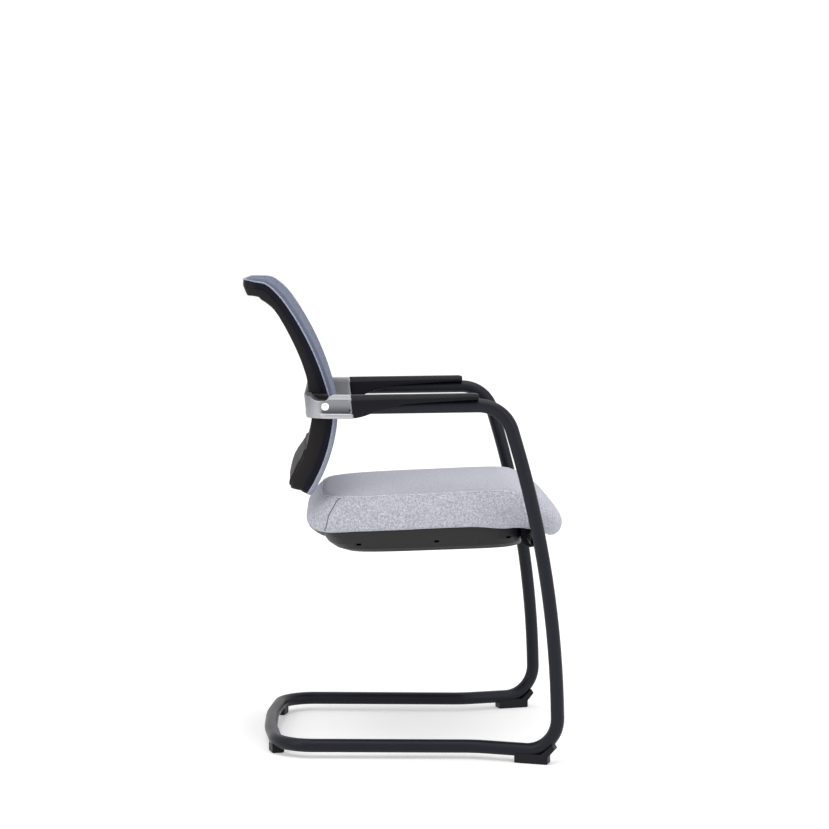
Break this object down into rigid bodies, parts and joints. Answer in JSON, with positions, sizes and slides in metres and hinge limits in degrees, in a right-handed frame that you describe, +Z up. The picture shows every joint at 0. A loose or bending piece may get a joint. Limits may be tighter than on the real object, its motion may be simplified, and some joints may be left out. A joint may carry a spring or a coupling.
{
  "type": "visitor chair",
  "caption": "Cantilever visitor chair: one bent tube forms floor loop, uprights and arms, with a cast yoke, curved mesh back and felt seat.",
  "frame": {"origin": "on the floor, at the centre of the chair's width and depth", "axes": "+Z up, the sitter faces -Y, +X to the sitter's left"},
  "size_m": [0.624, 0.6034, 0.8881],
  "materials": {
    "tube_paint": "satin powder coat, black with a blue cast",
    "glide": "moulded, fine grain",
    "zinc_steel": "zinc plated",
    "black_plastic": "moulded",
    "arm_pad": "soft touch, fine grain",
    "yoke_aluminium": "satin, with brighter lips",
    "polished_cap": "polished",
    "black_steel": "black oxide",
    "back_plastic": "fine grain",
    "cover_plastic": "fine grain",
    "back_mesh": "stretched woven mesh, blue-grey",
    "plywood": "bare beech plywood",
    "pan_plastic": "fine grain",
    "seat_felt": "melange wool felt, light grey"
  },
  "bodies": {
    "root": {"frame_tube": "tube_paint", "front_glide_right": "glide", "front_glide_left": "glide", "rear_glide_right": "glide", "rear_glide_left": "glide", "glide_screws": "zinc_steel", "tube_plugs": "black_plastic", "arm_pad_right": "arm_pad", "arm_pad_left": "arm_pad", "pad_screws": "zinc_steel", "yoke": "yoke_aluminium", "yoke_cap_right": "polished_cap", "yoke_cap_left": "polished_cap", "side_bolts": "zinc_steel", "set_screws": "black_steel", "back_ear_right": "back_plastic", "back_ear_left": "back_plastic", "ear_screws": "zinc_steel", "back_frame": "back_plastic", "lower_cover": "cover_plastic", "cover_screws": "black_steel", "mesh_carrier": "black_plastic", "back_mesh": "back_mesh", "cross_tube": "tube_paint", "seat_rail_right": "tube_paint", "seat_rail_left": "tube_paint", "seat_tie": "tube_paint", "seat_board": "plywood", "seat_bolts": "zinc_steel", "bolt_washers": "zinc_steel", "t_nuts": "zinc_steel", "seat_pan": "pan_plastic", "pan_screws": "black_steel", "seat_cushion": "seat_felt"}
  },
  "joints": []
}
